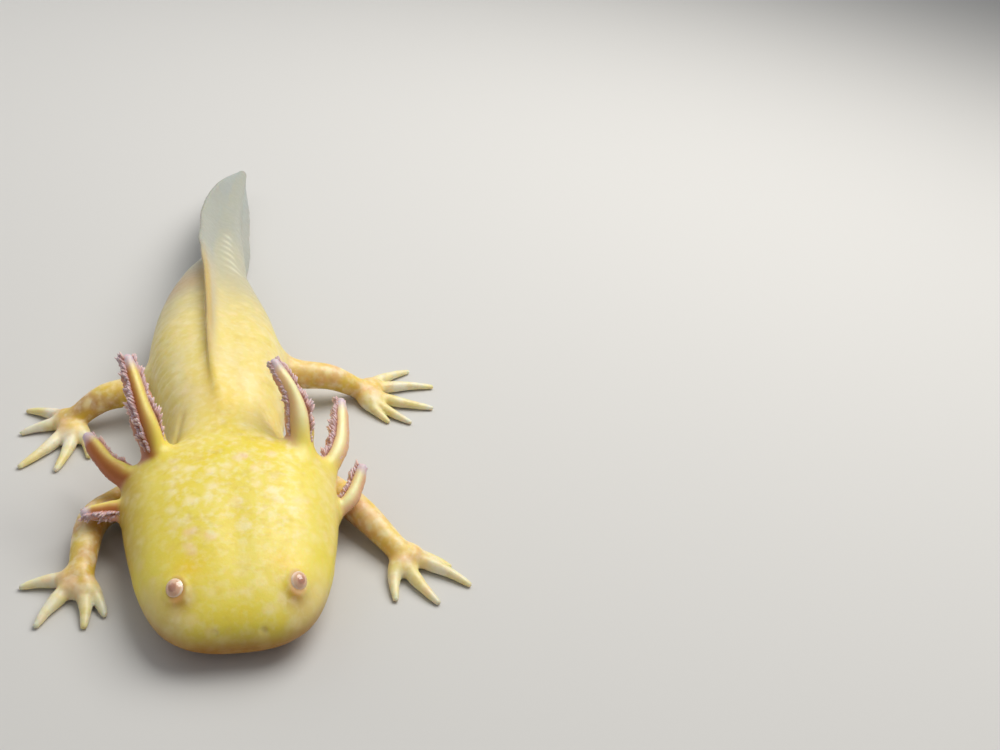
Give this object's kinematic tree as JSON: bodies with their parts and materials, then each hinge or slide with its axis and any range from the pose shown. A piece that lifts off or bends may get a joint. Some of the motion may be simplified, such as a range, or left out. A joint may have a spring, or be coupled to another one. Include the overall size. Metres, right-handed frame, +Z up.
{
  "type": "axolotl",
  "caption": "Life-size still axolotl lying on its belly, with feathery gills, splayed legs and a finned tail rolled to one side.",
  "frame": {"origin": "on the floor, under the middle of the box round the whole animal", "axes": "+Z up, +Y from the snout to the tail, +X to the animal's left"},
  "size_m": [0.1026, 0.221, 0.0321],
  "materials": {
    "head_skin": "soft moist skin, golden yellow with pale flecks",
    "body_skin": "soft moist skin, pale yellow",
    "limb_skin": "soft moist skin, peach",
    "fin_skin": "thin translucent skin, whitish",
    "gill_skin": "soft stalks with short pink filaments",
    "eye_ball": "glossy, pink with a pale ring"
  },
  "bodies": {
    "root": {"head": "head_skin", "lower_jaw": "head_skin", "neck": "body_skin", "trunk_front": "body_skin", "trunk_rear": "body_skin", "tail_base": "body_skin", "tail_middle": "body_skin", "tail_tip": "body_skin", "dorsal_fin": "fin_skin", "ventral_fin": "fin_skin", "eye_right": "eye_ball", "eye_left": "eye_ball", "upper_arm_right": "limb_skin", "forearm_right": "limb_skin", "hand_right": "limb_skin", "upper_arm_left": "limb_skin", "forearm_left": "limb_skin", "hand_left": "limb_skin", "thigh_right": "limb_skin", "shank_right": "limb_skin", "foot_right": "limb_skin", "thigh_left": "limb_skin", "shank_left": "limb_skin", "foot_left": "limb_skin", "gill_front_right": "gill_skin", "gill_middle_right": "gill_skin", "gill_rear_right": "gill_skin", "gill_front_left": "gill_skin", "gill_middle_left": "gill_skin", "gill_rear_left": "gill_skin"}
  },
  "joints": []
}
